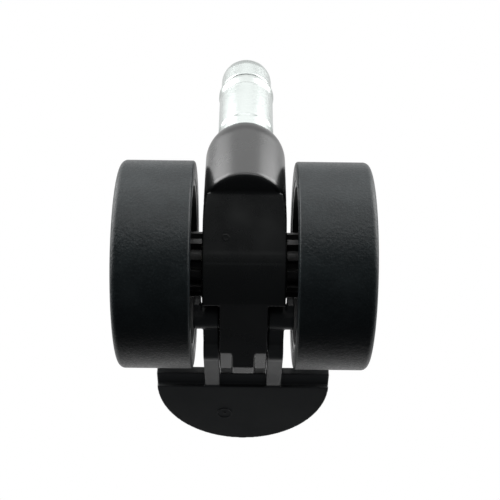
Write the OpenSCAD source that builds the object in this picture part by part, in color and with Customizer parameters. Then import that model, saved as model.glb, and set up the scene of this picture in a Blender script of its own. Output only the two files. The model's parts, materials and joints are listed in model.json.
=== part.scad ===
// Twin-wheel swivel caster with a foot brake and a grip-ring stem.
// Origin: on the stem axis, at the lower end of the stem's full-size shank.
// +Z runs up the stem, X lies along the wheel axle, and +Y points from the stem to the pedal.

/* [Stem] */
// Radius of the stem's shank, which plugs into the chair leg
shank_r = 5.5; // [4:0.1:6.5]
// Length from the shank's lower end to the tip
stem_len = 22; // [19:0.5:30]
// Length of the full-size shank below the grip ring
shank_len = 10.6; // [8:0.1:11.5]
// Height of the groove that holds the grip ring
ring_groove_h = 3.2; // [2.4:0.1:3.6]
// Wall of the split grip ring
ring_wall = 0.72; // [0.5:0.02:1]
// How far the grip ring stands out from the shank
ring_proud = 0.17; // [0.16:0.01:0.2]
// Radius that rounds the tip
tip_round = 4.4; // [2:0.1:5]
// Radius of the neck between the shank and the housing
neck_r = 5.25; // [4.8:0.05:5.4]
// Radius of the journal that turns in the bush
journal_r = 4; // [3.4:0.1:4.3]

/* [Wheels] */
// Outer diameter of a tyre
wheel_d = 40; // [38:1:52]
// Width of a tyre
tyre_w = 14; // [12.5:0.1:18]
// Thickness of a tyre, from its bore to its tread
tyre_t = 3.5; // [2.5:0.1:4.5]
// Distance from the housing's side to a tyre's inner face
wheel_gap = 1.9; // [1.9:0.1:3]
// Rounding of a tyre's outer shoulder
outer_round = 1.2; // [0.5:0.1:2.4]
// Rounding of a tyre's inner shoulder
inner_round = 0.5; // [0.2:0.1:1.5]
// Wall of the wheel core's rim
rim_wall = 1.2; // [0.9:0.1:2]
// Thickness of the wheel core's disc
disc_t = 2; // [1.5:0.1:3]
// Wall of the bush in a wheel hub
wheel_bush_wall = 0.85; // [0.6:0.05:1.1]
// Number of ribs on a wheel core
rib_count = 6; // [3:1:9]

/* [Axle] */
// Radius of the axle
axle_r = 2.5; // [2:0.1:2.8]
// Height of the stem's datum above the axle
axle_drop = 23.5; // [22.9:0.1:30]
// Distance from the swivel axis to the axle
trail = 13.5; // [12:0.1:15]
// Thickness of a spacer washer
washer_t = 0.3; // [0.2:0.05:0.35]
// Thickness of an axle clip
clip_t = 0.6; // [0.4:0.05:0.9]

/* [Housing] */
// Half of the housing's full width, and the radius of the stem boss
boss_r = 7.7; // [7.2:0.1:7.7]
// Height of the boss's lower edge above the axle
boss_floor = 1.6; // [1:0.1:3]
// Thickness of the floor under the stem's socket
socket_floor_t = 2; // [1.2:0.1:3]
// Radius of the housing's round body about the axle
body_r = 12.5; // [11.5:0.1:13]
// How far the body's sloping chin reaches in front of the axle
chin_reach = 17; // [15:0.5:18.5]
// Half-width of the tail that carries the brake pivot
tail_half_w = 4.6; // [4:0.1:5]
// Half-width of the tongue in the middle of the tail
tongue_half_w = 2.15; // [1.5:0.05:3]
// Gap between the rear end of the tail and the pedal's front edge
tail_gap = 4.3; // [1.2:0.1:5]
// Rounding of the boss's lower edge
boss_round = 0.9; // [0.3:0.1:1.5]

/* [Brake] */
// Distance of the brake pivot behind the axle
pivot_back = 12.5; // [12:0.1:13]
// Distance of the brake pivot below the axle
pivot_down = 9.5; // [9:0.1:9.8]
// Radius of the brake pivot pin
pin_r = 1.25; // [1:0.05:1.6]
// Radius of the pedal's knuckles
knuckle_r = 3.2; // [2.8:0.1:3.3]
// Thickness of a pedal lug
lug_t = 3; // [2.2:0.1:3]
// Angle that the pedal turns from released to locked
brake_throw = 11; // [9:0.5:12]
// Outer radius of the crown of teeth on each wheel core
crown_r = 6.4; // [6:0.1:7]
// Height of the crown's teeth
crown_h = 1.5; // [1.2:0.1:1.8]
// How deep a brake tooth reaches between the crown's teeth when it is locked
tooth_bite = 0.8; // [0.5:0.1:1]
// Number of teeth on each crown
crown_teeth = 12; // [12:12:12]
// Radius of the end block of a brake arm
block_r = 2.6; // [2:0.1:2.6]
// Half of the pedal's width
pedal_half_w = 17.5; // [14:0.5:20]
// Thickness of the pedal's plate
pedal_t = 2.6; // [2:0.1:3.2]
// Gap between a tyre's tread and the pedal's front edge
pedal_gap = 4.7; // [1.5:0.1:5.5]
// Length of the pedal's straight sides
pedal_side_len = 3.2; // [2.5:0.1:8]
// Depth of the relief under the front of the pedal
relief_t = 0.8; // [0.4:0.1:1.2]

/* [Fits] */
// Radial clearance of a shaft that turns in a bore
running_gap = 0.05; // [0.02:0.01:0.09]
// Gap between the faces of pieces that move past each other
side_gap = 0.3; // [0.3:0.05:0.4]
// Gap between the tail and the pedal's lugs
hinge_gap = 0.1; // [0.05:0.05:0.4]
// End play between pieces that turn against each other
end_play = 0.05; // [0.02:0.01:0.1]

/* [Hidden] */
$fn = 96;
eps = 0.01;
// How far a cut runs past what it cuts
overcut = 1;

// Stem, in heights above the datum
shank_chamfer = 0.5;
ring_play = 0.5;
head_step = 0.3;
ring_split_w = 1.4;
groove_r = shank_r + ring_proud - ring_wall;
groove_top = shank_len + ring_groove_h;
ring_h = ring_groove_h - ring_play;
head_r = shank_r - head_step;

// Socket, in heights above the axle
thrust_t = 0.8;
bush_wall = 0.95;
neck_gap = 0.2;
bush_ledge = 0.1;
snap_ring_t = 0.8;
snap_ring_gap = 0.35;
snap_ring_play = 0.4;
snap_ring_split_w = 2.4;
snap_groove_depth = 0.5;
undercut_h = 3.8;
journal_gap = 0.6;
// Depth of the cup that holds the thrust washer, below the lip where it breaks through the dome
cup_depth = 1.44;
// Depth of the dome's centre below the datum
dome_depth = 8.7;
socket_floor = boss_floor + socket_floor_t;
bush_bore_r = journal_r + running_gap;
bush_r = bush_bore_r + bush_wall;
counterbore_r = max(neck_r + neck_gap, bush_r);
dome_centre = axle_drop - dome_depth;
lip_rise = sqrt(boss_r * boss_r - counterbore_r * counterbore_r);
thrust_seat = dome_centre + lip_rise - cup_depth;
undercut_r = bush_r - bush_ledge;
snap_ring_r = undercut_r - snap_ring_gap;
snap_groove_r = journal_r - snap_groove_depth;
bush_foot = socket_floor + undercut_h;
snap_ring_top = bush_foot - snap_ring_play;
snap_ring_foot = snap_ring_top - snap_ring_t;
journal_end = socket_floor + journal_gap;
neck_foot = thrust_seat + thrust_t + end_play;

// Wheels, in distances from the middle of the axle
wheel_r = wheel_d / 2;
rim_r = wheel_r - tyre_t;
rim_bore_r = rim_r - rim_wall;
hub_r = crown_r - crown_h;
tyre_in = boss_r + wheel_gap;
tyre_out = tyre_in + tyre_w;
core_inset = 0.2;
core_outset = 0.5;
hub_inset = 4.5;
disc_inset = 2.5;
rib_h = 3.2;
rib_t = 1.2;
rib_root = 0.5;
hub_root = 1;
cap_t = 1.6;
cap_skirt_t = 1;
cap_gap = 0.4;
cap_boss_h = 0.4;
cap_boss_inset = 4;
cap_boss_round = 0.35;
washer_fit = 0.02;
washer_inset = 0.4;
clip_lip = 1.5;
clip_grip = 0.4;
clip_groove_depth = 0.4;
axle_overhang = 0.45;
axle_end_round = 0.4;
core_in = tyre_in + core_inset;
core_out = tyre_out - core_outset;
hub_in = boss_r + washer_t + end_play;
hub_out = tyre_out - hub_inset;
disc_in = core_in + disc_inset;
disc_out = disc_in + disc_t;
disc_mid = disc_in + disc_t / 2;
rib_out = disc_out + rib_h;
cap_in = rib_out + cap_gap;
cap_out = core_out - cap_boss_h;
cap_boss_r = rim_bore_r - cap_boss_inset;
wheel_bush_bore_r = axle_r + running_gap;
wheel_bush_r = wheel_bush_bore_r + wheel_bush_wall;
washer_bore_r = axle_r + washer_fit;
washer_r = hub_r - washer_inset;
clip_in = hub_out + side_gap + end_play;
clip_out = clip_in + clip_t;
clip_r = axle_r + clip_lip;
clip_groove_r = axle_r - clip_groove_depth;
clip_slot_w = 2 * (clip_groove_r - clip_grip);
axle_end = clip_out + axle_overhang;

// Brake, in the axle's frame, with the pedal released
pivot = [pivot_back, -pivot_down];
tooth_r = crown_r - tooth_bite;
tooth_angle = -73;
tooth_half_w = 0.3;
tooth_root_half_w = 1.1;
tooth_len = 1.9;
tooth_base = 4;
// Centre of a brake arm's end block, outwards from the tooth's tip and across it
block_offset = [3.06, 2.28];
arm_half_t = 1.8;
crown_tip_half_deg = 4.5;
crown_root_half_deg = 9;
crown_space = 0.45;
pin_inset = 0.15;
lug_in = tail_half_w + hinge_gap;
lug_out = lug_in + lug_t;
block_in = hub_in;
block_out = core_in - side_gap;
knuckle_bore_r = pin_r + running_gap;
pin_half_len = lug_out - pin_inset;
plate_floor = -9;
plate_top = plate_floor + pedal_t;
relief_top = plate_floor + relief_t;
pedal_near = sqrt(wheel_r * wheel_r - relief_top * relief_top) + pedal_gap;
pedal_mid = pedal_near + pedal_side_len;
// Where a lug's heel lies in front of the pedal's middle line and above its underside
heel_inset = [0.4, 0.1];
heel_root = 1;
// Where a lug starts, inside its knuckle
lug_root = 1;
lug_root_depth = 0.6;
toe_inset = 0.1;
lug_heel = [pedal_mid - heel_inset[0], plate_floor + heel_inset[1]];
grip_rib_start = 3.4;
grip_rib_h = 0.5;
grip_rib_w = 1.4;
grip_rib_pitch = 3.6;
grip_rib_count = 3;

// Housing side view, in the axle's frame
chin = [-chin_reach, boss_floor];
// The chin's slope runs at a tangent to the round body, and ends this far inside it
chin_sink = 0.03;
chin_foot_angle = atan2(chin[1], chin[0]) + acos(body_r / norm(chin));
chin_foot = (body_r - chin_sink) * [cos(chin_foot_angle), sin(chin_foot_angle)];
web_back = -1.5;
pocket_top = -3.2;
axle_boss_r = 6;
// How far the knuckles stand below the tail
knuckle_drop = 0.3;
tail_bevel_len = 7;
tail_bevel_h = 2;
tail_end_h = 4.8;
tongue_bevel_len = 2.8;
tongue_bevel_h = 0.8;
tongue_step = 1;
tongue_reach = 0.1;
// How far the tail's side view starts inside the web
tail_root = 1;
// Where the tail's upper side bends, from the brake pivot's place behind the axle
tail_bend = [1, -6];
tail_rise_len = 3;
tail_reach = pedal_near - tail_gap;
tail_floor = -(pivot_down + knuckle_r - knuckle_drop);
tail_bevel_y = tail_reach - tail_bevel_len;
tongue_bevel_y = tail_reach - tongue_bevel_len;
tail_end_floor = tail_floor + tail_bevel_h;
tongue_end_floor = tail_floor + tongue_bevel_h;
tail_end_top = tail_floor + tail_end_h;
tongue_end_top = tail_end_top - tongue_step;
tongue_end = tail_reach + tongue_reach;

// Puts pieces drawn about the axle into the stem's frame.
module at_axle() translate([0, trail, -axle_drop]) children();

// Extrudes a side view (y across, z up) from x_start to x_end.
module along_x(x_start, x_end)
    translate([x_start, 0, 0]) rotate([90, 0, 90]) linear_extrude(x_end - x_start) children();

// Turns a half-section (radius across, distance along the axle up) about the axle.
module lathe_x() rotate([0, 90, 0]) rotate_extrude() children();

// A rectangle of a half-section, from one radius and distance to another.
module band(r_from, r_to, x_from, x_to)
    translate([r_from, x_from]) square([r_to - r_from, x_to - x_from]);

// The waste of a rounded corner at the origin, on the side of +x and +y.
module corner_waste(round_r)
    difference() {
        translate([-round_r, -round_r]) square(round_r + eps);
        translate([-round_r, -round_r]) circle(round_r);
    }

module both_sides() {
    children();
    mirror([1, 0, 0]) children();
}

module left() mirror([1, 0, 0]) children();

// ---- Stem ----

module stem_section()
    difference() {
        union() {
            band(0, shank_r, 0, shank_len);
            band(0, groove_r, 0, groove_top);
            band(0, head_r, groove_top, stem_len);
            band(0, neck_r, neck_foot - axle_drop, 0);
            polygon([[0, -shank_chamfer], [neck_r, -shank_chamfer], [shank_r, 0], [0, 0]]);
            band(0, journal_r, journal_end - axle_drop, 0);
        }
        translate([head_r, stem_len]) corner_waste(tip_round);
        band(snap_groove_r, journal_r + overcut, snap_ring_foot - axle_drop, snap_ring_top - axle_drop);
    }

module stem() color("gainsboro") rotate_extrude() stem_section();

module split_ring(r_in, r_out, height, split_w)
    difference() {
        cylinder(r = r_out, h = height);
        translate([0, 0, -eps]) cylinder(r = r_in, h = height + 2 * eps);
        translate([-split_w / 2, 0, -eps]) cube([split_w, r_out + overcut, height + 2 * eps]);
    }

module grip_ring()
    color("silver") translate([0, 0, shank_len])
        split_ring(groove_r, shank_r + ring_proud, ring_h, ring_split_w);

module stem_snap_ring()
    color("dimgray") translate([0, 0, snap_ring_foot - axle_drop])
        split_ring(snap_groove_r, snap_ring_r, snap_ring_t, snap_ring_split_w);

// ---- Housing ----

module boss_section()
    difference() {
        union() {
            band(0, boss_r, boss_floor, dome_centre);
            intersection() {
                translate([0, dome_centre]) circle(boss_r);
                band(0, boss_r, dome_centre, dome_centre + boss_r);
            }
        }
        translate([boss_r, boss_floor]) mirror([0, 1]) corner_waste(boss_round);
    }

module body_side_view()
    union() {
        circle(axle_boss_r);
        difference() {
            circle(body_r);
            translate([web_back, -body_r - overcut])
                square([2 * body_r, body_r + overcut + pocket_top]);
        }
    }

// The chin, kept within the round front of the boss.
module chin_block()
    intersection() {
        along_x(-boss_r, boss_r) polygon([chin, chin_foot, [0, 0], [0, boss_floor]]);
        translate([0, 0, -body_r]) linear_extrude(body_r + boss_floor) union() {
            translate([0, -trail]) circle(boss_r);
            translate([-boss_r, -trail]) square([2 * boss_r, trail]);
        }
    }

module tail_side_view()
    polygon([
        [web_back - tail_root, tail_floor], [tail_bevel_y, tail_floor],
        [tail_reach, tail_end_floor], [tail_reach, tail_end_top],
        [pivot_back + tail_bend[0], tail_bend[1]],
        [pivot_back - tail_rise_len, pocket_top + eps], [web_back - tail_root, pocket_top + eps]
    ]);

module tongue_side_view()
    polygon([
        [web_back, tail_floor], [tongue_bevel_y, tail_floor],
        [tongue_end, tongue_end_floor], [tongue_end, tongue_end_top],
        [web_back, tongue_end_top]
    ]);

module socket_waste() {
    translate([0, 0, thrust_seat]) cylinder(r = counterbore_r, h = 2 * boss_r);
    translate([0, 0, bush_foot]) cylinder(r = bush_r, h = thrust_seat - bush_foot + eps);
    translate([0, 0, socket_floor]) cylinder(r = undercut_r, h = bush_foot - socket_floor + eps);
}

module housing()
    color("#1b1c1d") at_axle() difference() {
        union() {
            translate([0, -trail, 0]) rotate_extrude() boss_section();
            along_x(-boss_r, boss_r) body_side_view();
            chin_block();
            along_x(-tail_half_w, tail_half_w) tail_side_view();
            along_x(-tongue_half_w, tongue_half_w) tongue_side_view();
        }
        translate([0, -trail, 0]) socket_waste();
        along_x(-boss_r - overcut, boss_r + overcut) circle(axle_r);
        along_x(-boss_r - overcut, boss_r + overcut) translate(pivot) circle(pin_r);
    }

module stem_bush()
    color("ivory") translate([0, 0, -axle_drop]) rotate_extrude()
        band(bush_bore_r, bush_r, bush_foot, thrust_seat);

module stem_thrust_washer()
    color("darkgray") translate([0, 0, -axle_drop]) rotate_extrude()
        band(bush_bore_r, neck_r, thrust_seat, thrust_seat + thrust_t);

module axle()
    color("silver") at_axle() both_sides() lathe_x() difference() {
        band(0, axle_r, 0, axle_end);
        band(clip_groove_r, axle_r + overcut, clip_in, clip_out);
        translate([axle_r, axle_end]) corner_waste(axle_end_round);
    }

module brake_pivot_pin()
    color("silver") at_axle() along_x(-pin_half_len, pin_half_len) translate(pivot) circle(pin_r);

module axle_clip()
    color("dimgray") at_axle() translate([clip_in, 0, 0]) rotate([0, 90, 0])
        split_ring(clip_groove_r, clip_r, clip_t, clip_slot_w);

module spacer_washer()
    color("whitesmoke") at_axle() lathe_x() band(washer_bore_r, washer_r, boss_r, boss_r + washer_t);

// ---- Wheels, drawn on the +X side ----

module tyre()
    color("#4b5254") at_axle() lathe_x() difference() {
        band(rim_r, wheel_r, tyre_in, tyre_out);
        translate([wheel_r, tyre_out]) corner_waste(outer_round);
        translate([wheel_r, tyre_in]) mirror([0, 1]) corner_waste(inner_round);
    }

// One space between two crown teeth, centred on the +x direction.
module crown_space_shape() {
    half_pitch = 180 / crown_teeth;
    tip = half_pitch - crown_tip_half_deg;
    root = half_pitch - crown_root_half_deg;
    far_r = crown_r + overcut;
    polygon([
        [hub_r * cos(root), -hub_r * sin(root)],
        [far_r * cos(tip), -far_r * sin(tip)],
        [far_r * cos(tip), far_r * sin(tip)],
        [hub_r * cos(root), hub_r * sin(root)]
    ]);
}

module crown_side_view()
    difference() {
        circle(crown_r);
        for (i = [0 : crown_teeth - 1]) rotate(tooth_angle + i * 360 / crown_teeth) crown_space_shape();
        circle(wheel_bush_r);
    }

module wheel_core()
    color("#141516") at_axle() difference() {
        union() {
            lathe_x() {
                band(rim_bore_r, rim_r, core_in, core_out);
                band(hub_r - hub_root, rim_bore_r + eps, disc_in, disc_out);
                band(wheel_bush_r, hub_r, hub_in, hub_out);
            }
            along_x(hub_in, disc_in + eps) crown_side_view();
            for (i = [0 : rib_count - 1]) rotate([i * 360 / rib_count, 0, 0])
                translate([disc_mid, hub_r - rib_root, -rib_t / 2])
                    cube([rib_out - disc_mid, rim_bore_r - hub_r + rib_root + eps, rib_t]);
        }
        along_x(hub_in - overcut, hub_out + overcut) circle(wheel_bush_r);
    }

module wheel_bush()
    color("ivory") at_axle() lathe_x() band(wheel_bush_bore_r, wheel_bush_r, hub_in, hub_out);

module hub_cap()
    color("#1d1f20") at_axle() lathe_x() {
        band(0, rim_bore_r, cap_out - cap_t, cap_out);
        band(rim_bore_r - cap_skirt_t, rim_bore_r, cap_in, cap_out - cap_t + eps);
        difference() {
            band(0, cap_boss_r, cap_out - eps, core_out);
            translate([cap_boss_r, core_out]) corner_waste(cap_boss_round);
        }
    }

// ---- Brake pedal ----

// Turns a side view about the brake pivot, from locked back to released.
module released() translate(pivot) rotate(brake_throw) translate(-pivot) children();

// Where a point stands with the pedal released, from where it stands when locked.
function released_point(p) =
    pivot + [
        cos(brake_throw) * (p[0] - pivot[0]) - sin(brake_throw) * (p[1] - pivot[1]),
        sin(brake_throw) * (p[0] - pivot[0]) + cos(brake_throw) * (p[1] - pivot[1])
    ];

// Centre of the end block, with the pedal released.
function block_pos() =
    released_point([
        cos(tooth_angle) * (tooth_r + block_offset[0]) - sin(tooth_angle) * block_offset[1],
        sin(tooth_angle) * (tooth_r + block_offset[0]) + cos(tooth_angle) * block_offset[1]
    ]);

// The space that the crown fills when the brake is locked, with room around it.
module crown_room() released() circle(crown_r + crown_space);

module arm_side_view() {
    reach = block_pos() - pivot;
    arm_len = norm(reach);
    difference() {
        translate(pivot) rotate(atan2(reach[1], reach[0]))
            translate([0, -arm_half_t]) square([arm_len, 2 * arm_half_t]);
        crown_room();
    }
}

module block_side_view()
    difference() {
        translate(block_pos()) circle(block_r);
        crown_room();
    }

module tooth_side_view()
    released() rotate(tooth_angle) polygon([
        [tooth_r, -tooth_half_w], [tooth_r + tooth_len, -tooth_root_half_w],
        [tooth_r + tooth_base, tooth_root_half_w / 3], [tooth_r + tooth_len, tooth_root_half_w],
        [tooth_r, tooth_half_w]
    ]);

// A lug runs from its knuckle's underside up to the heel, where it meets the plate.
module lug_side_view() {
    span = lug_heel - pivot;
    toe_angle = atan2(span[1], span[0]) - acos(knuckle_r / norm(span));
    toe = pivot + (knuckle_r - toe_inset) * [cos(toe_angle), sin(toe_angle)];
    plate_root = pedal_mid + heel_root;
    polygon([
        pivot + [-lug_root, knuckle_r - lug_root_depth], toe, lug_heel,
        [plate_root, lug_heel[1]], [plate_root, plate_top], [pedal_near, plate_top]
    ]);
}

module plate_outline()
    union() {
        intersection() {
            translate([0, pedal_mid]) circle(pedal_half_w);
            translate([-pedal_half_w - overcut, pedal_mid])
                square([2 * (pedal_half_w + overcut), pedal_half_w + overcut]);
        }
        translate([-pedal_half_w, pedal_near]) square([2 * pedal_half_w, pedal_mid - pedal_near]);
    }

module grip_ribs()
    for (i = [0 : grip_rib_count - 1])
        translate([-pedal_half_w / 2, pedal_mid + grip_rib_start + i * grip_rib_pitch, plate_top - eps])
            cube([pedal_half_w, grip_rib_w, grip_rib_h + eps]);

module brake_pedal()
    color("#26282a") at_axle() difference() {
        union() {
            difference() {
                translate([0, 0, plate_floor]) linear_extrude(pedal_t) plate_outline();
                translate([-pedal_half_w - overcut, pedal_near - overcut, plate_floor - overcut])
                    cube([
                        2 * (pedal_half_w + overcut), pedal_mid - pedal_near + overcut, overcut + relief_t
                    ]);
            }
            grip_ribs();
            both_sides() along_x(lug_in, lug_out) {
                lug_side_view();
                arm_side_view();
                translate(pivot) circle(knuckle_r);
            }
            both_sides() along_x(lug_in, block_out) block_side_view();
            both_sides() along_x(block_in, block_out) tooth_side_view();
        }
        both_sides() along_x(lug_in - overcut, lug_out + overcut) translate(pivot) circle(knuckle_bore_r);
    }

stem();
grip_ring();
stem_snap_ring();
housing();
stem_bush();
stem_thrust_washer();
axle();
brake_pivot_pin();
left() axle_clip();  // left_axle_clip
axle_clip();  // right_axle_clip
left() spacer_washer();  // left_spacer_washer
spacer_washer();  // right_spacer_washer
brake_pedal();
left() tyre();  // left_tyre
left() wheel_core();  // left_wheel_core
left() wheel_bush();  // left_wheel_bush
left() hub_cap();  // left_hub_cap
tyre();  // right_tyre
wheel_core();  // right_wheel_core
wheel_bush();  // right_wheel_bush
hub_cap();  // right_hub_cap
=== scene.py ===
"""Looks for a braked twin-wheel caster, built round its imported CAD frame.

Every place and size comes from the frame: the wheels turn about the axle's joint, the pedal about its
pivot, and each lathe-turned piece takes its radii and faces from the CAD node that it stands for.
"""
import json
import logging
import math
from collections.abc import Sequence
from dataclasses import dataclass, field
from enum import Enum

import bmesh
import bpy
from mathutils import Matrix, Vector


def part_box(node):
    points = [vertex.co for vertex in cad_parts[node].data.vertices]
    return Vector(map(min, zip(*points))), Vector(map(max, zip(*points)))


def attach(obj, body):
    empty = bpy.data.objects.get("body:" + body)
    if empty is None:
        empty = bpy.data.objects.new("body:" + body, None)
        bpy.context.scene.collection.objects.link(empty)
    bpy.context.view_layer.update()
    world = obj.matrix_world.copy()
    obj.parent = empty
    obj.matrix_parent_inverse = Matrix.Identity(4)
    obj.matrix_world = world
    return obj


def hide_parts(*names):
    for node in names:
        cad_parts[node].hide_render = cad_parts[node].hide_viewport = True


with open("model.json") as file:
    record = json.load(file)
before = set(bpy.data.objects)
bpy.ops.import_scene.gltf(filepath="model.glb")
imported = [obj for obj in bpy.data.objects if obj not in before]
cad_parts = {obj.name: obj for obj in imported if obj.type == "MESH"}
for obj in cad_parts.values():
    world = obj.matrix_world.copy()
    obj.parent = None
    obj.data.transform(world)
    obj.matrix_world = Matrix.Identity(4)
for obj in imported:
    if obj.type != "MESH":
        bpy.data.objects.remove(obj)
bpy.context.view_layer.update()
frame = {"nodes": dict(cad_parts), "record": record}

MM = 0.001
ON_AXIS = 1e-7
Colour = tuple[float, float, float]
LOG = logging.getLogger("caster")


class Side(Enum):
    """Which side of the caster a piece is on, as the sign of its X."""

    LEFT = -1
    RIGHT = 1

    @property
    def word(self) -> str:
        """The side's name, as the CAD nodes spell it."""
        return self.name.lower()


class Slot(Enum):
    """The record's material slots."""

    ZINC = "zinc_steel"
    SPRING = "spring_steel"
    STEEL = "steel"
    HOUSING = "housing_nylon"
    PEDAL = "pedal_nylon"
    CORE = "core_nylon"
    CAP = "cap_plastic"
    TYRE = "tyre_rubber"
    BEARING = "bearing_plastic"


# ---- The frame's places ----


def joint_place(name: str) -> Vector:
    """Finds where a hinge stands.

    Args:
        name: The joint's name in the record.

    Returns:
        A point on the hinge's axis, in metres.
    """
    joints = frame["record"]["behaviour"]["joints"]
    return Vector(next(joint["pos_m"] for joint in joints if joint["name"] == name))


@dataclass(frozen=True)
class Extent:
    """The box of one CAD node.

    Attributes:
        low: Its lowest corner.
        high: Its highest corner.
    """

    low: Vector
    high: Vector

    @classmethod
    def of(cls, node: str) -> "Extent":
        """Reads a CAD node's box from the frame."""
        low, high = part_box(node)
        return cls(Vector(low), Vector(high))

    @property
    def radius(self) -> float:
        """Half of the box's height: the radius of a piece turned about the axle."""
        return (self.high.z - self.low.z) / 2

    def along(self, side: Side) -> tuple[float, float]:
        """The inner and outer distance from the middle plane, on one side."""
        ends = sorted((abs(self.low.x), abs(self.high.x)))
        return ends[0], ends[1]


# ---- Lathe work ----


@dataclass(frozen=True)
class Corner:
    """One corner of a half-section.

    Attributes:
        radius: Distance from the turning axis.
        height: Distance along the turning axis.
        fillet: Radius that rounds the corner, or 0.
    """

    radius: float
    height: float
    fillet: float = 0.0


@dataclass
class Lathe:
    """Turns a half-section about an axis into a closed mesh.

    Attributes:
        corners: The half-section's corners, in order.
        ring: Whether the half-section closes on itself, clear of the axis.
        arc_step: Largest turn between two points of a rounded corner.
        hold: Length of the short flat beside a rounded corner.
        around: Number of steps round the axis.
        split: Angle left open round the lathe's Y axis, or 0 for a full turn.
    """

    corners: Sequence[Corner]
    ring: bool = True
    arc_step: float = math.radians(10)
    hold: float = 0.06 * MM
    around: int = 160
    split: float = 0.0

    def outline(self) -> list[Vector]:
        """Rounds the corners.

        Returns:
            The half-section's points, with a short flat kept beside each arc so that faces shade flat.
        """
        points: list[Vector] = []
        count = len(self.corners)
        for index, corner in enumerate(self.corners):
            here = Vector((corner.radius, corner.height))
            at_end = not self.ring and index in (0, count - 1)
            if at_end or corner.fillet == 0:
                points.append(here)
                continue
            before = self.corners[index - 1]
            after = self.corners[(index + 1) % count]
            points += self._arc(here, Vector((before.radius, before.height)),
                                Vector((after.radius, after.height)), corner.fillet)
        return points

    def _arc(self, here: Vector, before: Vector, after: Vector, fillet: float) -> list[Vector]:
        """Makes the points that round one corner.

        Args:
            here: The corner.
            before: The corner before it.
            after: The corner after it.
            fillet: The arc's radius.

        Returns:
            The arc's points from the side of before to the side of after.
        """
        back, ahead = (before - here).normalized(), (after - here).normalized()
        half = back.angle(ahead) / 2
        run = fillet / math.tan(half)
        centre = here + (back + ahead).normalized() * (fillet / math.sin(half))
        start, stop = here + back * run - centre, here + ahead * run - centre
        turn = start.angle(stop)
        steps = max(2, math.ceil(turn / self.arc_step))
        sign = 1 if start.x * stop.y - start.y * stop.x > 0 else -1
        arc = []
        for step in range(steps + 1):
            angle = sign * turn * step / steps
            arc.append(centre + Vector((
                start.x * math.cos(angle) - start.y * math.sin(angle),
                start.x * math.sin(angle) + start.y * math.cos(angle))))
        if (before - here).length > run + 3 * self.hold:
            arc.insert(0, here + back * (run + self.hold))
        if (after - here).length > run + 3 * self.hold:
            arc.append(here + ahead * (run + self.hold))
        return arc

    def build(self, name: str, place: Matrix) -> bpy.types.Object:
        """Turns the half-section.

        Args:
            name: The new object's name.
            place: Takes the lathe's frame, with its axis along Z, into the caster's frame.

        Returns:
            The turned piece, as a closed smooth mesh.
        """
        work = bmesh.new()
        rings = [self._ring(work, point, place) for point in self.outline()]
        pairs = list(zip(rings, rings[1:]))
        if self.ring:
            pairs.append((rings[-1], rings[0]))
        for lower, upper in pairs:
            self._skin(work, lower, upper)
        if self.split:
            work.faces.new([ring[0] for ring in rings])
            work.faces.new([ring[-1] for ring in rings])
        bmesh.ops.recalc_face_normals(work, faces=work.faces)
        return mesh_object(name, work)

    def _ring(self, work: bmesh.types.BMesh, point: Vector, place: Matrix) -> list[bmesh.types.BMVert]:
        """Makes one ring of points.

        Args:
            work: The bmesh that takes them.
            point: The half-section's point.
            place: Takes the lathe's frame into the caster's frame.

        Returns:
            The ring's points, or a single point where the half-section meets the axis.
        """
        if point.x < ON_AXIS:
            return [work.verts.new(place @ Vector((0, 0, point.y)))]
        start = math.pi / 2 + self.split / 2
        sweep = 2 * math.pi - self.split
        count = self.around + 1 if self.split else self.around
        angles = (start + sweep * step / self.around for step in range(count))
        return [work.verts.new(place @ Vector((point.x * math.cos(a), point.x * math.sin(a), point.y)))
                for a in angles]

    def _skin(self, work: bmesh.types.BMesh, lower: list[bmesh.types.BMVert],
              upper: list[bmesh.types.BMVert]) -> None:
        """Joins two rings with faces.

        Args:
            work: The bmesh that takes the faces.
            lower: One ring, or a single point on the axis.
            upper: The next ring, or a single point on the axis.
        """
        count = max(len(lower), len(upper))
        for step in range(self.around):
            after = (step + 1) % count
            if len(lower) == 1:
                work.faces.new((lower[0], upper[after], upper[step]))
            elif len(upper) == 1:
                work.faces.new((lower[step], lower[after], upper[0]))
            else:
                work.faces.new((lower[step], lower[after], upper[after], upper[step]))


def mesh_object(name: str, work: bmesh.types.BMesh) -> bpy.types.Object:
    """Makes a smooth-shaded object from a finished bmesh, and frees the bmesh.

    Args:
        name: The new object's name.
        work: The bmesh.

    Returns:
        The object, linked to the scene.
    """
    mesh = bpy.data.meshes.new(name)
    work.to_mesh(mesh)
    work.free()
    mesh.shade_smooth()
    made = bpy.data.objects.new(name, mesh)
    bpy.context.scene.collection.objects.link(made)
    return made


def axle_place(centre: Vector, side: Side) -> Matrix:
    """The frame of a lathe whose axis is the axle.

    Args:
        centre: The axle's middle.
        side: The side that the axis points to.

    Returns:
        A matrix that takes the lathe's Z outwards along the axle.
    """
    turn = Matrix(((0, 0, side.value), (1, 0, 0), (0, 1, 0)))
    return Matrix.Translation(centre) @ turn.to_4x4()


def facing_place(at: Vector, outward: Vector) -> Matrix:
    """The frame of a lathe that stands on a surface.

    Args:
        at: The point on the surface.
        outward: The surface's outward direction there.

    Returns:
        A matrix that takes the lathe's Z along outward.
    """
    return Matrix.Translation(at) @ outward.to_track_quat("Z", "Y").to_matrix().to_4x4()


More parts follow.
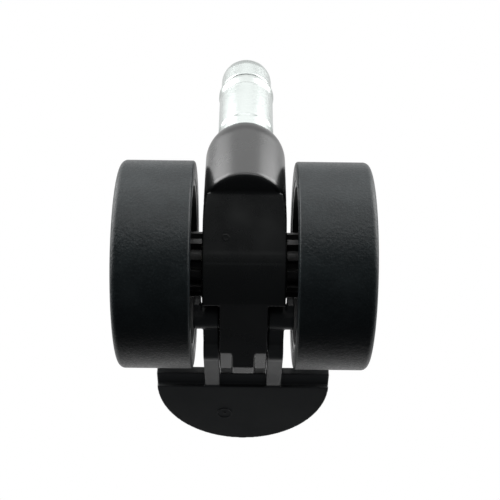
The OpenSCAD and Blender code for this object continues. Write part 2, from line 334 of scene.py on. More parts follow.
@dataclass
class SoftMoulding:
    """Turns a sharp CAD solid into a moulding with rounded edges.

    Attributes:
        node: The CAD node to start from.
        voxel: Size of the remesh's cells.
        passes: Smoothing passes, which set how round the edges get.
    """

    node: str
    voxel: float
    passes: int

    def build(self, name: str) -> bpy.types.Object:
        """Copies the node's mesh, remeshes it and smooths it.

        Args:
            name: The new object's name.

        Returns:
            The rounded moulding.
        """
        source = frame["nodes"][self.node]
        work = bmesh.new()
        work.from_mesh(source.data)
        bmesh.ops.transform(work, matrix=source.matrix_world, verts=work.verts)
        bmesh.ops.remove_doubles(work, verts=work.verts, dist=ON_AXIS)
        rough = mesh_object(name + "_rough", work)
        remesh = rough.modifiers.new("cells", "REMESH")
        remesh.mode = "VOXEL"
        remesh.voxel_size = self.voxel
        smooth = rough.modifiers.new("round", "SMOOTH")
        smooth.factor = 0.5
        smooth.iterations = self.passes
        graph = bpy.context.evaluated_depsgraph_get()
        mesh = bpy.data.meshes.new_from_object(rough.evaluated_get(graph))
        mesh.materials.clear()
        mesh.name = name
        mesh.shade_smooth()
        bpy.data.objects.remove(rough)
        made = bpy.data.objects.new(name, mesh)
        bpy.context.scene.collection.objects.link(made)
        return made


# ---- Shader work ----


class Shader:
    """A node material with one Principled shader and short calls for its procedural detail."""

    def __init__(self, name: str) -> None:
        """Starts an empty material.

        Args:
            name: The material's name.
        """
        self.material = bpy.data.materials.new(name)
        self.material.use_nodes = True
        self.tree = self.material.node_tree
        self.tree.nodes.clear()
        self.surface = self.tree.nodes.new("ShaderNodeBsdfPrincipled")
        output = self.tree.nodes.new("ShaderNodeOutputMaterial")
        self.tree.links.new(self.surface.outputs["BSDF"], output.inputs["Surface"])
        self.place = self.tree.nodes.new("ShaderNodeTexCoord").outputs["Object"]

    def set(self, **values: float | tuple[float, ...]) -> None:
        """Sets the shader's own sockets, named with underscores for spaces."""
        for key, value in values.items():
            self.surface.inputs[key.replace("_", " ")].default_value = value

    def feed(self, socket: str, source: bpy.types.NodeSocket) -> None:
        """Links a source to one of the shader's sockets."""
        self.tree.links.new(source, self.surface.inputs[socket])

    def noise(self, size: float, detail: float = 2.0, roughness: float = 0.5,
              stretch: tuple[float, float, float] = (1, 1, 1)) -> bpy.types.NodeSocket:
        """Adds a noise pattern.

        Args:
            size: Size of its largest features, in metres.
            detail: Number of finer layers.
            roughness: Strength of the finer layers.
            stretch: Scale along each axis.

        Returns:
            The pattern's value socket.
        """
        mapping = self.tree.nodes.new("ShaderNodeMapping")
        mapping.inputs["Scale"].default_value = stretch
        self.tree.links.new(self.place, mapping.inputs["Vector"])
        noise = self.tree.nodes.new("ShaderNodeTexNoise")
        noise.inputs["Scale"].default_value = 1 / size
        noise.inputs["Detail"].default_value = detail
        noise.inputs["Roughness"].default_value = roughness
        self.tree.links.new(mapping.outputs["Vector"], noise.inputs["Vector"])
        return noise.outputs["Fac"]

    def cells(self, size: float) -> bpy.types.NodeSocket:
        """Adds a pattern of fine cells.

        Args:
            size: Size of a cell, in metres.

        Returns:
            The socket that gives the distance to the nearest cell's middle.
        """
        voronoi = self.tree.nodes.new("ShaderNodeTexVoronoi")
        voronoi.inputs["Scale"].default_value = 1 / size
        self.tree.links.new(self.place, voronoi.inputs["Vector"])
        return voronoi.outputs["Distance"]

    def edges(self) -> bpy.types.NodeSocket:
        """The mesh's own sharpness, high on outer edges."""
        return self.tree.nodes.new("ShaderNodeNewGeometry").outputs["Pointiness"]

    def spread(self, source: bpy.types.NodeSocket, start: float, stop: float,
               low: float, high: float) -> bpy.types.NodeSocket:
        """Maps a value.

        Args:
            source: The value.
            start: Where the input range starts.
            stop: Where the input range stops.
            low: The result at start.
            high: The result at stop.

        Returns:
            The mapped value, held within low and high.
        """
        node = self.tree.nodes.new("ShaderNodeMapRange")
        self.tree.links.new(source, node.inputs["Value"])
        for key, value in (("From Min", start), ("From Max", stop), ("To Min", low), ("To Max", high)):
            node.inputs[key].default_value = value
        return node.outputs["Result"]

    def mix(self, amount: bpy.types.NodeSocket, first: Colour | bpy.types.NodeSocket,
            second: Colour | bpy.types.NodeSocket) -> bpy.types.NodeSocket:
        """Mixes two colours.

        Args:
            amount: Share of the second colour.
            first: The first colour, or its socket.
            second: The second colour, or its socket.

        Returns:
            The mixed colour's socket.
        """
        node = self.tree.nodes.new("ShaderNodeMix")
        node.data_type = "RGBA"
        self.tree.links.new(amount, node.inputs["Factor"])
        colour_inputs = [socket for socket in node.inputs if socket.type == "RGBA"]
        for socket, colour in zip(colour_inputs, (first, second)):
            if isinstance(colour, tuple):
                socket.default_value = (*colour, 1)
            else:
                self.tree.links.new(colour, socket)
        return next(socket for socket in node.outputs if socket.type == "RGBA")

    def relief(self, layers: Sequence[tuple[bpy.types.NodeSocket, float]], soft_edge: float = 0.0) -> None:
        """Adds bumps, and rounds the look of sharp edges.

        Args:
            layers: Height patterns, each with its depth in metres.
            soft_edge: Radius that sharp edges seem to have, or 0.
        """
        normal = None
        if soft_edge:
            bevel = self.tree.nodes.new("ShaderNodeBevel")
            bevel.samples = 6
            bevel.inputs["Radius"].default_value = soft_edge
            normal = bevel.outputs["Normal"]
        for height, depth in layers:
            bump = self.tree.nodes.new("ShaderNodeBump")
            bump.inputs["Distance"].default_value = depth
            self.tree.links.new(height, bump.inputs["Height"])
            if normal is not None:
                self.tree.links.new(normal, bump.inputs["Normal"])
            normal = bump.outputs["Normal"]
        self.feed("Normal", normal)


@dataclass(frozen=True)
class MouldedPlastic:
    """An injection-moulded plastic with fine grain, flow marks and edges rubbed lighter.

    Attributes:
        name: The material's name.
        colour: Colour of the plastic.
        worn: Colour where it is rubbed.
        roughness: Lowest and highest roughness.
        grain: Size of the mould texture.
        grain_depth: Height of the mould texture.
        soft_edge: Radius that sharp edges seem to have, or 0.
        level: Strength of the surface's own reflection.
        rubbed: Share of the worn colour on outer edges, or 0.
    """

    name: str
    colour: Colour
    worn: Colour
    roughness: tuple[float, float]
    grain: float
    grain_depth: float
    soft_edge: float = 0.0
    level: float = 0.5
    rubbed: float = 0.7

    def material(self) -> bpy.types.Material:
        """Builds the node material.

        Returns:
            The material, shared by every piece of this finish.
        """
        shader = Shader(self.name)
        flow = shader.noise(6 * MM, detail=3)
        rub = shader.spread(shader.edges(), 0.52, 0.6, 0.0, self.rubbed)
        base = shader.mix(shader.spread(flow, 0.3, 0.7, 0, 0.3), self.colour, self.worn)
        shader.feed("Base Color", shader.mix(rub, base, self.worn))
        shader.feed("Roughness", shader.spread(flow, 0.3, 0.7, *self.roughness))
        shader.set(IOR=1.5, Specular_IOR_Level=self.level)
        grain = shader.noise(self.grain, detail=2, roughness=0.6)
        ripple = shader.noise(9 * MM, detail=1)
        shader.relief([(ripple, 0.02 * MM), (grain, self.grain_depth)], self.soft_edge)
        return shader.material


@dataclass(frozen=True)
class TyreCompound:
    """A matte polyurethane tread, speckled with dust and scuffs.

    Attributes:
        name: The material's name.
        colour: Colour of the compound.
        dusty: Colour of dust and scuffs on it.
        roughness: Lowest and highest roughness.
        speckle: Size of the speckles.
        pore: Size of the pores.
        level: Strength of the surface's own reflection.
    """

    name: str
    colour: Colour
    dusty: Colour
    roughness: tuple[float, float]
    speckle: float
    pore: float = 0.55 * MM
    level: float = 0.24

    def material(self) -> bpy.types.Material:
        """Builds the node material.

        Returns:
            The material, shared by every piece of this finish.
        """
        shader = Shader(self.name)
        fine = shader.noise(self.speckle, detail=3, roughness=0.7)
        broad = shader.noise(5 * MM, detail=4, roughness=0.6)
        scuffs = shader.noise(1.2 * MM, detail=3, stretch=(3.5, 1, 1))
        pores = shader.cells(self.pore)
        speckled = shader.mix(shader.spread(fine, 0.5, 0.72, 0, 0.55), self.colour, self.dusty)
        dusted = shader.mix(shader.spread(broad, 0.45, 0.75, 0, 0.35), speckled, self.dusty)
        shader.feed("Base Color", dusted)
        shader.feed("Roughness", shader.spread(scuffs, 0.3, 0.7, *self.roughness))
        shader.set(IOR=1.5, Specular_IOR_Level=self.level)
        shader.relief([(broad, 0.05 * MM), (fine, 0.06 * MM), (pores, 0.03 * MM), (scuffs, 0.02 * MM)])
        return shader.material


@dataclass(frozen=True)
class PlatedSteel:
    """Plated or ground steel, with turning marks and light stains.

    Attributes:
        name: The material's name.
        colour: Colour of the metal.
        stained: Colour where it is stained.
        roughness: Lowest and highest roughness.
        soft_edge: Radius that sharp edges seem to have, or 0.
    """

    name: str
    colour: Colour
    stained: Colour
    roughness: tuple[float, float]
    soft_edge: float = 0.0

    def material(self) -> bpy.types.Material:
        """Builds the node material.

        Returns:
            The material, shared by every piece of this finish.
        """
        shader = Shader(self.name)
        turning = shader.noise(0.5 * MM, detail=3, stretch=(0.15, 0.15, 6))
        stain = shader.noise(4 * MM, detail=4, roughness=0.6)
        stained = shader.mix(shader.spread(stain, 0.5, 0.8, 0, 0.5), self.colour, self.stained)
        shader.feed("Base Color", stained)
        shader.feed("Roughness", shader.spread(turning, 0.3, 0.7, *self.roughness))
        shader.set(Metallic=1.0)
        shader.relief([(turning, 0.0012 * MM), (stain, 0.002 * MM)], self.soft_edge)
        return shader.material


class Finishes:
    """Every finish on the caster, each made once and shared by its pieces."""

    def __init__(self) -> None:
        """Makes the materials."""
        self.by_slot: dict[Slot, bpy.types.Material] = {
            Slot.HOUSING: MouldedPlastic("satin_black_nylon", (0.0035, 0.004, 0.004), (0.01, 0.011, 0.011),
                                         (0.25, 0.32), 0.25 * MM, 0.004 * MM).material(),
            Slot.PEDAL: MouldedPlastic("textured_black_nylon", (0.028, 0.03, 0.031), (0.05, 0.052, 0.052),
                                       (0.34, 0.46), 0.3 * MM, 0.012 * MM).material(),
            Slot.CORE: MouldedPlastic("core_black_nylon", (0.008, 0.009, 0.009), (0.03, 0.03, 0.03),
                                      (0.34, 0.44), 0.3 * MM, 0.008 * MM, 0.15 * MM).material(),
            Slot.CAP: MouldedPlastic("cap_black_plastic", (0.013, 0.014, 0.014), (0.035, 0.036, 0.036),
                                     (0.34, 0.44), 0.25 * MM, 0.01 * MM, rubbed=0.0).material(),
            Slot.BEARING: MouldedPlastic("natural_acetal", (0.62, 0.6, 0.52), (0.45, 0.42, 0.34),
                                         (0.3, 0.4), 0.3 * MM, 0.004 * MM, 0.08 * MM).material(),
            Slot.TYRE: TyreCompound("grey_tread_compound", (0.005, 0.0075, 0.0085), (0.02, 0.026, 0.0275),
                                    (0.34, 0.44), 0.3 * MM).material(),
            Slot.ZINC: PlatedSteel("bright_zinc_plate", (0.37, 0.395, 0.385), (0.33, 0.355, 0.345),
                                   (0.26, 0.34)).material(),
            Slot.SPRING: PlatedSteel("spring_steel", (0.33, 0.35, 0.34), (0.27, 0.29, 0.28),
                                     (0.28, 0.38), 0.08 * MM).material(),
            Slot.STEEL: PlatedSteel("ground_steel", (0.62, 0.63, 0.63), (0.45, 0.45, 0.44),
                                    (0.22, 0.34), 0.08 * MM).material(),
        }

    def dress(self, piece: bpy.types.Object, slot: Slot) -> None:
        """Gives a new piece the finish of its record slot.

        Args:
            piece: The piece.
            slot: The record's slot.
        """
        piece.data.materials.clear()
        piece.data.materials.append(self.by_slot[slot])

    def dress_node(self, node: str, slot: Slot) -> None:
        """Gives a carried-over CAD node its finish, on the object's own slots.

        Args:
            node: The CAD node.
            slot: The record's slot.
        """
        piece = frame["nodes"][node]
        for holder in piece.material_slots:
            holder.link = "OBJECT"
            holder.material = self.by_slot[slot]
        LOG.info("%s keeps its CAD mesh, in %s", node, slot.value)


# ---- The caster's sub-assemblies ----


@dataclass
class SubAssembly:
    """What every sub-assembly shares: its finishes and how its pieces join the frame.

    Attributes:
        finishes: The caster's finishes.
    """

    finishes: Finishes

    def fit(self, piece: bpy.types.Object, body: str, slot: Slot, *nodes: str) -> None:
        """Makes a piece ride on its body, dresses it and hides the CAD nodes that it stands for.

        Args:
            piece: The new piece.
            body: The body that it moves with.
            slot: The record's slot.
            nodes: The CAD nodes that it replaces, if any.
        """
        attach(piece, body)
        self.finishes.dress(piece, slot)
        if nodes:
            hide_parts(*nodes)
        LOG.info("%s: %d faces on %s", piece.name, len(piece.data.polygons), body)


@dataclass
class Stem(SubAssembly):
    """The plug-in stem, turned in one piece, with its two split rings.

    Attributes:
        shank_radius: Radius of the part that plugs into the chair.
        shank_top: Height of the shank's upper end.
        groove_radius: Radius at the bottom of the grip ring's groove.
        groove_top: Height of the groove's upper end.
        head_radius: Radius of the head above the groove.
        tip_round: Rounding of the tip.
        neck_radius: Radius of the neck below the shank.
        chamfer: Height of the cone between neck and shank.
        journal_radius: Radius of the part that turns in the bush.
        foot_round: Rounding of the stem's foot.
        seat_gap: Clearance above the thrust washer.
        neck_round: Rounding between the neck and the cone.
        snap_groove_radius: Radius at the bottom of the snap ring's groove.
        edge: Rounding of the turned edges.
        head_edge: Rounding of the head's lower edge.
        ring_lead: Height of the grip ring's lead-in.
        ring_crown: Rounding of the grip ring's upper edge.
        ring_split: Width of the grip ring's slit.
    """

    shank_radius: float = 5.5 * MM
    shank_top: float = 10.6 * MM
    groove_radius: float = 4.95 * MM
    groove_top: float = 13.8 * MM
    head_radius: float = 5.2 * MM
    tip_round: float = 4.3 * MM
    neck_radius: float = 5.25 * MM
    chamfer: float = 0.5 * MM
    journal_radius: float = 4.0 * MM
    foot_round: float = 0.4 * MM
    seat_gap: float = 0.05 * MM
    neck_round: float = 0.2 * MM
    snap_groove_radius: float = 3.5 * MM
    edge: float = 0.18 * MM
    head_edge: float = 0.5 * MM
    ring_lead: float = 1.6 * MM
    ring_crown: float = 0.5 * MM
    ring_split: float = 1.4 * MM

    def corners(self) -> list[Corner]:
        """Lays out the stem's half-section.

        Returns:
            Its corners, from the foot to the tip.
        """
        foot, tip = Extent.of("stem").low.z, Extent.of("stem").high.z
        seat = Extent.of("stem_thrust_washer").high.z + self.seat_gap
        ring = Extent.of("stem_snap_ring")
        fine = self.edge / 3
        return [
            Corner(0, foot),
            Corner(self.journal_radius, foot, self.foot_round),
            Corner(self.journal_radius, ring.low.z, fine),
            Corner(self.snap_groove_radius, ring.low.z, fine),
            Corner(self.snap_groove_radius, ring.high.z, fine),
            Corner(self.journal_radius, ring.high.z, fine),
            Corner(self.journal_radius, seat, fine),
            Corner(self.neck_radius, seat, self.edge),
            Corner(self.neck_radius, -self.chamfer, self.neck_round),
            Corner(self.shank_radius, 0, self.edge),
            Corner(self.shank_radius, self.shank_top, self.edge),
            Corner(self.groove_radius, self.shank_top, fine),
            Corner(self.groove_radius, self.groove_top, fine),
            Corner(self.head_radius, self.groove_top, self.head_edge),
            Corner(self.head_radius, tip, self.tip_round),
            Corner(0, tip),
        ]

    def build(self) -> None:
        """Turns the stem and dresses its rings."""
        stem = Lathe(self.corners(), ring=False).build("stem_turned", Matrix.Identity(4))
        self.fit(stem, "stem", Slot.ZINC, "stem")
        self.fit(self.grip_ring(), "stem", Slot.SPRING, "grip_ring")
        self.finishes.dress_node("stem_snap_ring", Slot.SPRING)

    def grip_ring(self) -> bpy.types.Object:
        """Turns the split ring, with a lead-in at its lower edge.

        Returns:
            The ring, open towards the pedal as its CAD node is.
        """
        ring = Extent.of("grip_ring")
        outer = ring.high.x
        bore = self.groove_radius
        foot, top = ring.low.z, ring.high.z
        turned = Lathe([
            Corner(bore, foot), Corner(self.shank_radius - self.edge / 2, foot, self.edge / 3),
            Corner(outer, foot + self.ring_lead, self.edge), Corner(outer, top, self.ring_crown),
            Corner(bore, top),
        ], split=self.ring_split / outer)
        return turned.build("grip_ring_turned", Matrix.Identity(4))


@dataclass
class Housing(SubAssembly):
    """The black moulded body, with its bearing parts, axle and pins.

    Attributes:
        voxel: Size of the remesh's cells.
        passes: Smoothing passes.
        chin_front: Upper end of the sloping chin, measured from the axle's middle.
        chin_foot: Lower end of the chin, measured the same way.
        gate_share: How far down the chin the gate mark lies.
        gate_side: Its distance from the middle plane.
        gate_radius: Its radius.
        gate_taper: Radius of its end, as a share of its foot's.
        gate_rise: Its height above the chin.
        gate_hollow: Height of its middle, as a share of its rim's.
        gate_sink: How deep its foot is sunk.
        gate_edge: Rounding of its rim.
        foot_edge: Rounding of its foot.
    """

    voxel: float = 0.16 * MM
    passes: int = 10
    chin_front: Vector = field(default_factory=lambda: Vector((0, -17, 1.6)) * MM)
    chin_foot: Vector = field(default_factory=lambda: Vector((0, -9.88, -7.6)) * MM)
    gate_share: float = 0.72
    gate_side: float = -3.4 * MM
    gate_radius: float = 0.75 * MM
    gate_taper: float = 0.8
    gate_rise: float = 0.12 * MM
    gate_hollow: float = 0.6
    gate_sink: float = 0.2 * MM
    gate_edge: float = 0.05 * MM
    foot_edge: float = 0.03 * MM

    def build(self) -> None:
        """Builds the body, the gate mark under it, and dresses the hardware in it."""
        body = SoftMoulding("housing", self.voxel, self.passes).build("housing_moulding")
        self.fit(body, "housing", Slot.HOUSING, "housing")
        self.fit(self.gate_mark(), "housing", Slot.HOUSING)
        for node in ("stem_thrust_washer", "axle", "brake_pivot_pin"):
            self.finishes.dress_node(node, Slot.STEEL)
        self.finishes.dress_node("stem_bush", Slot.BEARING)
        for side in Side:
            self.finishes.dress_node(f"{side.word}_axle_clip", Slot.SPRING)
            self.finishes.dress_node(f"{side.word}_spacer_washer", Slot.BEARING)

    def gate_mark(self) -> bpy.types.Object:
        """Turns the small stub that the moulding gate leaves on the body's chin.

        Returns:
            The stub, standing square to the chin's slope.
        """
        slope = (self.chin_foot - self.chin_front).normalized()
        outward = Vector((0, slope.z, -slope.y))
        on_chin = self.chin_front.lerp(self.chin_foot, self.gate_share)
        at = joint_place("left_wheel_spin") + on_chin + Vector((self.gate_side, 0, 0))
        stub = Lathe([
            Corner(0, -self.gate_sink),
            Corner(self.gate_radius, -self.gate_sink, self.foot_edge),
            Corner(self.gate_radius * self.gate_taper, self.gate_rise, self.gate_edge),
            Corner(0, self.gate_rise * self.gate_hollow),
        ], ring=False, around=40)
        return stub.build("gate_mark", facing_place(at, outward))


@dataclass
class BrakePedal(SubAssembly):
    """The foot pedal with its lugs, brake arms and teeth.

    Attributes:
        voxel: Size of the remesh's cells.
        passes: Smoothing passes.
        plate_drop: Depth of the plate's underside below the axle.
        mark_side: The mould mark's distance from the middle plane.
        mark_back: Its distance behind the pivot.
        mark_radius: Middle radius of its ring.
        wire: Half-width of the ring's crest.
        wire_foot: Half-width of the ring's foot.
        mark_rise: The ring's height, and how deep the mark is sunk.
        ring_edge: Rounding of the ring's crest.
        dot_radius: Radius of the dot's top.
        dot_foot: Radius of the dot's foot.
        dot_rise: The dot's height.
        dot_edge: Rounding of the dot's top.
    """

    voxel: float = 0.16 * MM
    passes: int = 8
    mark_side: float = -3.8 * MM
    mark_back: float = 22.4 * MM
    mark_radius: float = 1.5 * MM
    plate_drop: float = 9.0 * MM
    wire: float = 0.1 * MM
    wire_foot: float = 0.12 * MM
    mark_rise: float = 0.1 * MM
    ring_edge: float = 0.05 * MM
    dot_radius: float = 0.3 * MM
    dot_foot: float = 0.35 * MM
    dot_rise: float = 0.12 * MM
    dot_edge: float = 0.06 * MM

    def build(self) -> None:
        """Builds the pedal and the round mould mark under its plate."""
        pedal = SoftMoulding("brake_pedal", self.voxel, self.passes).build("pedal_moulding")
        self.fit(pedal, "brake_pedal", Slot.PEDAL, "brake_pedal")
        for index, mark in enumerate(self.mould_mark()):
            mark.name = f"pedal_mould_mark_{index + 1}"
            self.fit(mark, "brake_pedal", Slot.PEDAL)

    def mould_mark(self) -> list[bpy.types.Object]:
        """Turns a plain raised ring and the dot in it.

        Returns:
            The ring and the dot.
        """
        pivot = joint_place("brake_press")
        floor = joint_place("left_wheel_spin").z - self.plate_drop
        at = Vector((self.mark_side, pivot.y + self.mark_back, floor))
        place = facing_place(at, Vector((0, 0, -1)))
        ring = Lathe([
            Corner(self.mark_radius - self.wire_foot, -self.mark_rise),
            Corner(self.mark_radius + self.wire_foot, -self.mark_rise),
            Corner(self.mark_radius + self.wire, self.mark_rise, self.ring_edge),
            Corner(self.mark_radius - self.wire, self.mark_rise, self.ring_edge),
        ], around=64)
        dot = Lathe([
            Corner(0, -self.mark_rise), Corner(self.dot_foot, -self.mark_rise),
            Corner(self.dot_radius, self.dot_rise, self.dot_edge), Corner(0, self.dot_rise),
        ], ring=False, around=32)
        return [ring.build("ring", place), dot.build("dot", place)]


@dataclass(frozen=True)
class CapSection:
    """The section of a hub cap: dished middle, crest, groove, raised lip and a skirt that plugs into the rim.

    Attributes:
        sink: Depth of the lip's face below the crest.
        skin: Thickness of the cap's face.
        wall: Thickness of the skirt.
        boss_inset: Width between the boss and the rim.
        dish_share: Radius of the flat middle, as a share of the boss's.
        dish_depth: Depth of the middle below the crest.
        groove_depth: Depth of the groove below the lip.
        crest_inner: Width from the boss's edge to the crest's inner side.
        crest_outer: Width from the boss's edge to the crest's outer side.
        lip_foot: Width from the rim to the lip's foot.
        lip_top: Width from the rim to the lip's top.
        dish_round: Rounding between the middle and the slope.
        crest_round: Rounding of the crest's inner side.
        crest_edge: Rounding of the crest's outer side.
        groove_round: Rounding at the bottom of the groove.
        lip_round: Rounding at the lip's foot.
        lip_edge: Rounding of the lip's inner edge.
        rim_edge: Rounding of the cap's outer edge.
        skirt_edge: Rounding of the skirt's end.
        inner_round: Rounding between the skirt and the face.
    """

    sink: float = 0.4 * MM
    skin: float = 1.6 * MM
    wall: float = 1.0 * MM
    boss_inset: float = 4.0 * MM
    dish_share: float = 0.55
    dish_depth: float = 0.3 * MM
    groove_depth: float = 0.35 * MM
    crest_inner: float = 1.2 * MM
    crest_outer: float = 0.2 * MM
    lip_foot: float = 1.8 * MM
    lip_top: float = 1.2 * MM
    dish_round: float = 1.5 * MM
    crest_round: float = 0.5 * MM
    crest_edge: float = 0.3 * MM
    groove_round: float = 0.25 * MM
    lip_round: float = 0.5 * MM
    lip_edge: float = 0.4 * MM
    rim_edge: float = 0.35 * MM
    skirt_edge: float = 0.1 * MM
    inner_round: float = 0.3 * MM

    def corners(self, rim: float, inner: float, outer: float) -> list[Corner]:
        """Lays out the half-section.

        Args:
            rim: The cap's radius.
            inner: Distance of the skirt's end from the middle plane.
            outer: Distance of the crest from the middle plane.

        Returns:
            The corners, from the middle of the outer face to the middle of the inner face.
        """
        face = outer - self.sink
        boss = rim - self.boss_inset
        middle, groove, back = outer - self.dish_depth, face - self.groove_depth, face - self.skin
        return [
            Corner(0, middle),
            Corner(boss * self.dish_share, middle, self.dish_round),
            Corner(boss - self.crest_inner, outer, self.crest_round),
            Corner(boss - self.crest_outer, outer, self.crest_edge),
            Corner(boss, groove, self.groove_round),
            Corner(rim - self.lip_foot, groove, self.lip_round),
            Corner(rim - self.lip_top, face, self.lip_edge),
            Corner(rim, face, self.rim_edge),
            Corner(rim, inner, self.skirt_edge),
            Corner(rim - self.wall, inner, self.skirt_edge),
            Corner(rim - self.wall, back, self.inner_round),
            Corner(0, back),
        ]


@dataclass
class Wheel(SubAssembly):
    """One wheel: tyre, core with its brake crown, bush and hub cap.

    Attributes:
        side: The wheel's side.
        outer_round: Rounding of the tyre's outer shoulder.
        inner_round: Rounding of the tyre's inner shoulder.
        bore_edge: Rounding of the tyre's edges at the core.
        cap: The hub cap's section.
        centre: The axle's middle.
    """

    side: Side = Side.RIGHT
    outer_round: float = 1.2 * MM
    inner_round: float = 0.5 * MM
    bore_edge: float = 0.15 * MM
    cap: CapSection = CapSection()
    centre: Vector = field(default_factory=lambda: joint_place("left_wheel_spin"))

    def build(self) -> None:
        """Builds the tyre and the cap, and dresses the core and the bush."""
        word = self.side.word
        body = f"{word}_wheel"
        self.fit(self.tyre(), body, Slot.TYRE, f"{word}_tyre")
        self.fit(self.hub_cap(), body, Slot.CAP, f"{word}_hub_cap")
        self.finishes.dress_node(f"{word}_wheel_core", Slot.CORE)
        self.finishes.dress_node(f"{word}_wheel_bush", Slot.BEARING)

    def tyre(self) -> bpy.types.Object:
        """Turns the tyre, with its two rounded shoulders.

        Returns:
            The tyre, from the core's rim to the tread.
        """
        tread = Extent.of(f"{self.side.word}_tyre")
        bore = Extent.of(f"{self.side.word}_wheel_core").radius
        inner, outer = tread.along(self.side)
        ring = Lathe([
            Corner(bore, inner, self.bore_edge), Corner(tread.radius, inner, self.inner_round),
            Corner(tread.radius, outer, self.outer_round), Corner(bore, outer, self.bore_edge),
        ], around=256)
        return ring.build(f"{self.side.word}_tyre_turned", axle_place(self.centre, self.side))

    def hub_cap(self) -> bpy.types.Object:
        """Turns the hub cap.

        Returns:
            The cap, closed on the axis.
        """
        extent = Extent.of(f"{self.side.word}_hub_cap")
        inner, outer = extent.along(self.side)
        dish = Lathe(self.cap.corners(extent.radius, inner, outer), ring=False, around=192)
        return dish.build(f"{self.side.word}_cap_turned", axle_place(self.centre, self.side))


# ---- The studio ----


@dataclass(frozen=True)
class Softbox:
    """One area light.

    Attributes:
        name: The light's name.
        toward: Direction from the caster to the light.
        size: Its width and height.
        radiance: How bright its face is, against a white background of 1.
        distance: How far away it stands.
    """

    name: str
    toward: tuple[float, float, float]
    size: tuple[float, float]
    radiance: float
    distance: float = 0.5

    def build(self, target: Vector) -> None:
        """Hangs the light, facing the caster.

        Args:
            target: The point that it faces.
        """
        light = bpy.data.lights.new(self.name, "AREA")
        light.shape = "RECTANGLE"
        light.size, light.size_y = self.size
        light.energy = self.radiance * math.pi * self.size[0] * self.size[1]
        lamp = bpy.data.objects.new(self.name, light)
        toward = Vector(self.toward).normalized()
        lamp.location = target + toward * self.distance
        lamp.rotation_mode = "QUATERNION"
        lamp.rotation_quaternion = toward.to_track_quat("Z", "Y")
        lamp.visible_camera = False
        bpy.context.scene.collection.objects.link(lamp)


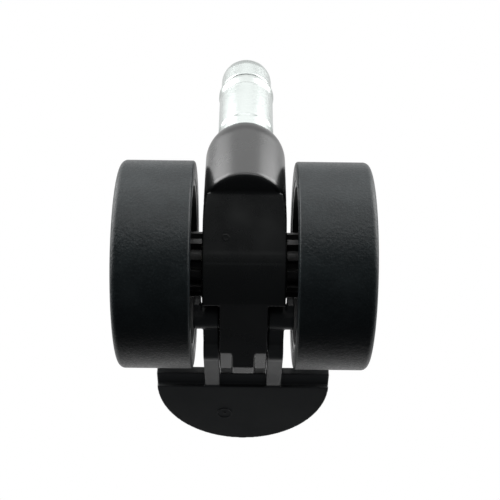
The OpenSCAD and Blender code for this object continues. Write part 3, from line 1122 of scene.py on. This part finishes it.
@dataclass
class Studio:
    """White surroundings above, a pale floor far below, softboxes and the camera.

    Attributes:
        distance: Distance of the camera from the axle's middle.
        look: Direction from the axle's middle to the camera.
        aim_right: How far the camera aims to the right of the axle's middle.
        aim_up: How far it aims above it.
        roll: Turn of the camera about its line of sight.
        lens: Focal length of the camera, in millimetres.
        sensor: Width of its sensor, in millimetres.
        clip: Nearest and farthest distance that it sees.
        floor_drop: Depth of the floor below the frame's origin.
        floor_reach: Half-width of the floor.
        floor_tones: The floor's two colours.
        sky: Colours of the world from straight down to level, each with its place on the ramp.
        softboxes: The lights.
    """

    distance: float = 200 * MM
    look: tuple[float, float, float] = (0, -0.702, -0.712)
    aim_right: float = 1.07 * MM
    aim_up: float = 2.9 * MM
    roll: float = math.radians(0.35)
    lens: float = 74.5
    sensor: float = 36
    clip: tuple[float, float] = (0.01, 200)
    floor_drop: float = 0.36
    floor_reach: float = 60
    floor_tones: tuple[Colour, Colour] = ((0.89, 0.89, 0.88), (0.92, 0.92, 0.91))
    sky: tuple[tuple[float, Colour], ...] = (
        (0.3, (0.07, 0.074, 0.078)), (0.4, (0.13, 0.135, 0.14)), (0.465, (1, 1, 1)),
    )
    softboxes: tuple[Softbox, ...] = (
        Softbox("key", (0, -0.75, 0.66), (0.95, 0.36), 1.7),
        Softbox("left_fill", (-0.85, -0.35, 0.4), (0.45, 0.5), 6.2),
        Softbox("right_fill", (0.85, -0.35, 0.4), (0.45, 0.5), 6.2),
        Softbox("front_strip", (0, -1, -0.03), (0.5, 0.08), 5.0),
        Softbox("rear_low", (0, 0.98, -0.2), (0.8, 0.16), 0.3),
    )

    def build(self) -> None:
        """Sets up everything round the caster."""
        centre = joint_place("left_wheel_spin")
        self.surroundings()
        self.floor()
        for softbox in self.softboxes:
            softbox.build(centre)
        self.camera(centre)
        bpy.context.scene.view_settings.view_transform = "Standard"

    def surroundings(self) -> None:
        """A world that is white above the horizon and dark under the caster."""
        world = bpy.data.worlds.new("white_studio")
        bpy.context.scene.world = world
        world.use_nodes = True
        tree = world.node_tree
        tree.nodes.clear()
        output = tree.nodes.new("ShaderNodeOutputWorld")
        background = tree.nodes.new("ShaderNodeBackground")
        ramp = tree.nodes.new("ShaderNodeValToRGB")
        split = tree.nodes.new("ShaderNodeSeparateXYZ")
        spread = tree.nodes.new("ShaderNodeMapRange")
        place = tree.nodes.new("ShaderNodeTexCoord")
        spread.inputs["From Min"].default_value = -1
        tree.links.new(place.outputs["Generated"], split.inputs["Vector"])
        tree.links.new(split.outputs["Z"], spread.inputs["Value"])
        tree.links.new(spread.outputs["Result"], ramp.inputs["Fac"])
        tree.links.new(ramp.outputs["Color"], background.inputs["Color"])
        tree.links.new(background.outputs["Background"], output.inputs["Surface"])
        stops = ramp.color_ramp.elements
        for stop, (position, colour) in zip((stops[0], stops.new(0.5), stops[-1]), self.sky):
            stop.position = position
            stop.color = (*colour, 1)

    def floor(self) -> None:
        """A wide pale floor, low enough that every camera stays above it."""
        work = bmesh.new()
        bmesh.ops.create_grid(work, x_segments=1, y_segments=1, size=self.floor_reach)
        floor = mesh_object("floor", work)
        floor.location.z = -self.floor_drop
        shader = Shader("pale_floor")
        cloud = shader.noise(0.4, detail=3)
        shader.feed("Base Color", shader.mix(cloud, *self.floor_tones))
        shader.feed("Roughness", shader.spread(cloud, 0.3, 0.7, 0.75, 0.85))
        floor.data.materials.append(shader.material)
        floor.visible_glossy = False
        floor.visible_diffuse = False

    def camera(self, centre: Vector) -> None:
        """Stands the camera under the caster, on the stem's side, and looks up at it.

        Args:
            centre: The axle's middle.
        """
        toward = Vector(self.look).normalized()
        up = Vector((0, toward.z, -toward.y))
        data = bpy.data.cameras.new("view")
        data.lens, data.sensor_width = self.lens, self.sensor
        data.clip_start, data.clip_end = self.clip
        camera = bpy.data.objects.new("view", data)
        bpy.context.scene.collection.objects.link(camera)
        camera.location = centre + toward * self.distance
        aim = centre + Vector((self.aim_right, 0, 0)) + up * self.aim_up
        camera.rotation_mode = "QUATERNION"
        sight = (camera.location - aim).to_track_quat("Z", "Y")
        camera.rotation_quaternion = sight @ Matrix.Rotation(self.roll, 3, "Z").to_quaternion()
        bpy.context.scene.camera = camera


def main() -> None:
    """Builds the caster's looks, piece by piece, and the studio round it."""
    logging.basicConfig(level=logging.INFO, format="%(name)s: %(message)s")
    finishes = Finishes()
    Stem(finishes).build()
    Housing(finishes).build()
    BrakePedal(finishes).build()
    for side in Side:
        Wheel(finishes, side=side).build()
    Studio().build()


if __name__ == "__main__":
    main()
